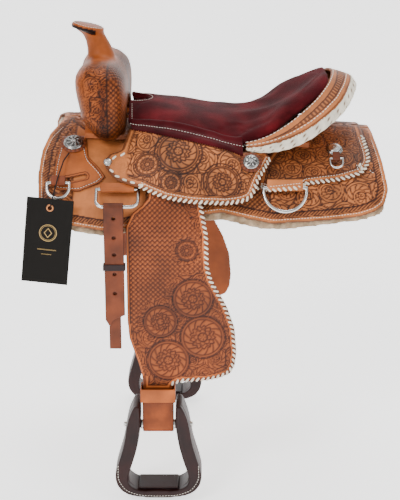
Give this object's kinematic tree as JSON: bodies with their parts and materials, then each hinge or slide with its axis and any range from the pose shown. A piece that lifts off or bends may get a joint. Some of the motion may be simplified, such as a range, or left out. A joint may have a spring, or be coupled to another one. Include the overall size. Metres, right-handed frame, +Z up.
{
  "type": "western saddle",
  "caption": "Western saddle with horn, rolled cantle, suede seat, tooled skirts, swinging fenders and stirrups, rigging rings, latigo and hanging tag.",
  "frame": {"origin": "top of the horse's back under the middle of the seat", "axes": "-X towards the horse's head, -Y the near (left) side, +Z up"},
  "size_m": [0.6718, 0.504, 0.8707],
  "materials": {
    "skirt_leather": "tooled and oiled",
    "plain_leather": "smooth, oiled",
    "dark_strap": "smooth",
    "fleece": "sheared wool",
    "suede": "suede nap",
    "foam": "felt over strainer",
    "tree_wood": "rawhide covered wood",
    "rawhide": "laced rawhide",
    "steel": "plated",
    "silver": "engraved",
    "ring_steel": "polished",
    "stirrup_leather": "oiled, stitched",
    "tread_rubber": "oiled",
    "tag_card": "coated card",
    "copper": "polished",
    "cord": "waxed cord"
  },
  "bodies": {
    "saddle": {"bar_straps": "plain_leather", "cantle_back": "skirt_leather", "cantle_binding": "rawhide", "cantle_board": "tree_wood", "cheyenne_roll": "skirt_leather", "ferrule_screws": "silver", "fork": "tree_wood", "front_conchos": "silver", "front_rigging_loops": "plain_leather", "ground_seat": "foam", "horn_cap": "plain_leather", "horn_core": "steel", "horn_wrap": "plain_leather", "leather_rosettes": "plain_leather", "mid_conchos": "silver", "rear_conchos": "silver", "rear_jockeys": "skirt_leather", "rear_rigging_loops": "plain_leather", "rigging_leather_near": "plain_leather", "rigging_leather_off": "plain_leather", "seat_jockey_near": "skirt_leather", "seat_jockey_off": "skirt_leather", "skirt_near": "skirt_leather", "skirt_off": "skirt_leather", "small_strap_loops": "plain_leather", "suede_seat": "suede", "swell_cover": "skirt_leather", "tree_bars": "tree_wood", "woolskins": "fleece"},
    "near_leather_top": {"leather_top_near": "plain_leather"},
    "near_fender": {"fender_near": "skirt_leather", "stirrup_leather_near": "plain_leather", "hobble_strap_near": "plain_leather", "stirrup_buckle_near": "steel"},
    "near_stirrup": {"stirrup_frame_near": "stirrup_leather", "stirrup_tread_near": "tread_rubber", "stirrup_bolt_near": "steel"},
    "off_leather_top": {"leather_top_off": "plain_leather"},
    "off_fender": {"fender_off": "skirt_leather", "stirrup_leather_off": "plain_leather", "hobble_strap_off": "plain_leather", "stirrup_buckle_off": "steel"},
    "off_stirrup": {"stirrup_frame_off": "stirrup_leather", "stirrup_tread_off": "tread_rubber", "stirrup_bolt_off": "steel"},
    "near_front_rigging_ring": {"front_rigging_dee_near": "ring_steel"},
    "off_front_rigging_ring": {"front_rigging_dee_off": "ring_steel"},
    "near_rear_rigging_ring": {"rear_rigging_dee_near": "ring_steel"},
    "off_rear_rigging_ring": {"rear_rigging_dee_off": "ring_steel"},
    "near_breast_collar_ring": {"breast_collar_dee_near": "ring_steel"},
    "off_breast_collar_ring": {"breast_collar_dee_off": "ring_steel"},
    "near_clip_ring": {"clip_dee_near": "ring_steel"},
    "off_clip_ring": {"clip_dee_off": "ring_steel"},
    "near_latigo": {"latigo": "plain_leather", "latigo_tail": "plain_leather", "latigo_keeper": "dark_strap"},
    "off_billet": {"off_billet": "plain_leather"},
    "near_tag": {"hang_tag": "tag_card", "tag_eyelet": "copper", "tag_cord": "cord"}
  },
  "joints": [
    {"name": "near_fender_swing", "type": "hinge", "parent": "saddle", "child": "near_leather_top", "pos_m": [-0.062, -0.15, 0], "axis": [0, 1, 0], "range_deg": [-7, 6]},
    {"name": "near_fender_lift", "type": "hinge", "parent": "near_leather_top", "child": "near_fender", "pos_m": [-0.062, -0.2, -0.0585], "axis": [-1, 0, 0], "range_deg": [0, 12]},
    {"name": "near_stirrup_turn", "type": "hinge", "parent": "near_fender", "child": "near_stirrup", "pos_m": [-0.079, -0.22, -0.516], "axis": [-1, 0, 0], "range_deg": [-45, 45]},
    {"name": "off_fender_swing", "type": "hinge", "parent": "saddle", "child": "off_leather_top", "pos_m": [-0.062, 0.15, 0], "axis": [0, 1, 0], "range_deg": [-7, 6]},
    {"name": "off_fender_lift", "type": "hinge", "parent": "off_leather_top", "child": "off_fender", "pos_m": [-0.062, 0.2, -0.0585], "axis": [1, 0, 0], "range_deg": [0, 12]},
    {"name": "off_stirrup_turn", "type": "hinge", "parent": "off_fender", "child": "off_stirrup", "pos_m": [-0.079, 0.22, -0.516], "axis": [1, 0, 0], "range_deg": [-45, 45]},
    {"name": "near_front_rigging_ring_turn", "type": "hinge", "parent": "saddle", "child": "near_front_rigging_ring", "pos_m": [-0.149, -0.2, -0.06], "axis": [-1, 0, 0], "range_deg": [0, 30]},
    {"name": "off_front_rigging_ring_turn", "type": "hinge", "parent": "saddle", "child": "off_front_rigging_ring", "pos_m": [-0.149, 0.2, -0.06], "axis": [1, 0, 0], "range_deg": [0, 30]},
    {"name": "near_rear_rigging_ring_turn", "type": "hinge", "parent": "saddle", "child": "near_rear_rigging_ring", "pos_m": [0.154, -0.19, -0.06], "axis": [-1, 0, 0], "range_deg": [-6, 60]},
    {"name": "off_rear_rigging_ring_turn", "type": "hinge", "parent": "saddle", "child": "off_rear_rigging_ring", "pos_m": [0.154, 0.19, -0.06], "axis": [1, 0, 0], "range_deg": [-6, 60]},
    {"name": "near_breast_collar_ring_turn", "type": "hinge", "parent": "saddle", "child": "near_breast_collar_ring", "pos_m": [-0.256, -0.1925, -0.05], "axis": [-1, 0, 0], "range_deg": [-6, 5]},
    {"name": "off_breast_collar_ring_turn", "type": "hinge", "parent": "saddle", "child": "off_breast_collar_ring", "pos_m": [-0.256, 0.1925, -0.05], "axis": [1, 0, 0], "range_deg": [-6, 5]},
    {"name": "near_clip_ring_turn", "type": "hinge", "parent": "saddle", "child": "near_clip_ring", "pos_m": [0.25, -0.146, -0.016], "axis": [-1, 0, 0], "range_deg": [-10, 60]},
    {"name": "off_clip_ring_turn", "type": "hinge", "parent": "saddle", "child": "off_clip_ring", "pos_m": [0.25, 0.146, -0.016], "axis": [1, 0, 0], "range_deg": [-10, 60]},
    {"name": "latigo_swing", "type": "hinge", "parent": "near_front_rigging_ring", "child": "near_latigo", "pos_m": [-0.155, -0.23179, -0.08395], "axis": [-1, 0, 0], "range_deg": [0, 40]},
    {"name": "billet_swing", "type": "hinge", "parent": "off_front_rigging_ring", "child": "off_billet", "pos_m": [-0.155, 0.23179, -0.08395], "axis": [1, 0, 0], "range_deg": [0, 40]},
    {"name": "tag_swing", "type": "hinge", "parent": "saddle", "child": "near_tag", "pos_m": [-0.236, -0.128, 0.012], "axis": [0, 1, 0], "range_deg": [-2, 12]}
  ]
}
